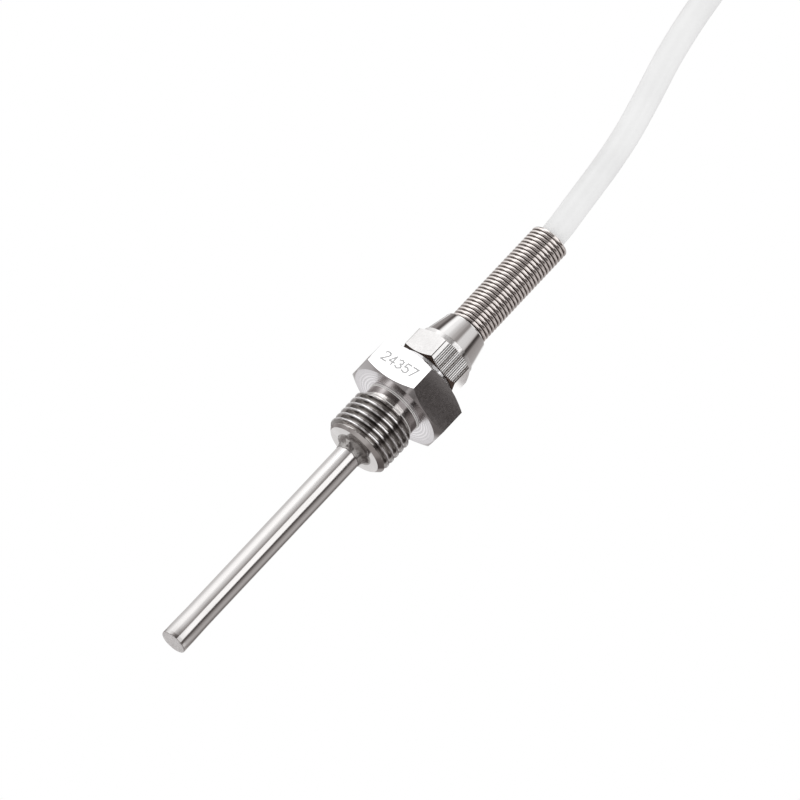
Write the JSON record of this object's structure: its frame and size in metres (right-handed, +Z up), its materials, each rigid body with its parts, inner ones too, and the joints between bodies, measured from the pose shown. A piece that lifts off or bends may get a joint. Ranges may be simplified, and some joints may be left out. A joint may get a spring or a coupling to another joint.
{
  "type": "threaded resistance temperature probe with cable",
  "caption": "Slim sheathed temperature probe with a threaded hexagon fitting, a small cone nut, a close-wound spring strain relief and a stored cable with ferruled ends.",
  "frame": {"origin": "on the probe's axis, in the sealing face of the large hexagon, where the process port ends", "axes": "+X runs along the probe from the tip to the cable; +Z points up, away from the surface that one flat of the large hexagon lies on; +Y completes the right-handed frame"},
  "size_m": [0.2977, 0.0456, 0.0188],
  "materials": {
    "stainless_sheath": "drawn and polished stainless steel tube, satin with fine lengthways lines",
    "stainless_cap": "ground stainless steel end, matt grey",
    "turned_stainless": "turned stainless steel with fine tool marks, bright flats",
    "weld_metal": "rough grey weld metal with dark oxide",
    "plated_nut": "bright nickel plating, mirror smooth on the cone",
    "spring_steel": "bright drawn spring wire",
    "washer_steel": "plain stamped steel",
    "ceramic": "white glazed alumina",
    "lead_wire": "bare precious metal lead wire",
    "crimp_metal": "tinned copper sleeve",
    "core_red": "smooth extruded core insulation, red",
    "core_white": "smooth extruded core insulation, white",
    "glass_sleeving": "braided glass fibre sleeving",
    "epoxy": "cast potting resin",
    "seal_rubber": "moulded rubber",
    "silicone_jacket": "smooth milky silicone rubber, slightly translucent",
    "boot_shrink": "black heat-shrink tube",
    "tie_strap": "black hook-and-loop strap"
  },
  "bodies": {
    "root": {"probe_sheath": "stainless_sheath", "tip_cap": "stainless_cap", "sensing_element": "ceramic", "element_insulator": "ceramic", "element_leads": "lead_wire", "splice_sleeves": "crimp_metal", "core_wire_a": "core_red", "core_wire_b": "core_red", "core_wire_c": "core_white", "insulating_sleeve": "glass_sleeving", "process_fitting": "turned_stainless", "weld_bead": "weld_metal", "potting_plug": "epoxy", "cable_grommet": "seal_rubber", "cable_run": "silicone_jacket", "cable_coil": "silicone_jacket", "coil_tie": "tie_strap", "cable_tail": "silicone_jacket", "end_boot": "boot_shrink", "tail_core_a": "core_red", "tail_core_b": "core_red", "tail_core_c": "core_white", "core_ferrules": "crimp_metal"},
    "spring_carrier": {"thrust_washer": "washer_steel", "strain_relief_spring": "spring_steel"},
    "gland_nut": {"spring_nut": "plated_nut"}
  },
  "joints": [
    {"name": "nut_advance", "type": "slide", "parent": "root", "child": "spring_carrier", "axis": [1, 0, 0], "range_m": [0, 0.002]},
    {"name": "nut_turn", "type": "hinge", "parent": "spring_carrier", "child": "gland_nut", "pos_m": [0.0115, 0, 0], "axis": [1, 0, 0], "range_deg": [0, 1440]}
  ],
  "couplings": [
    {"joint": "nut_advance", "follows": "nut_turn", "m_per_rad": 0.00007957}
  ]
}
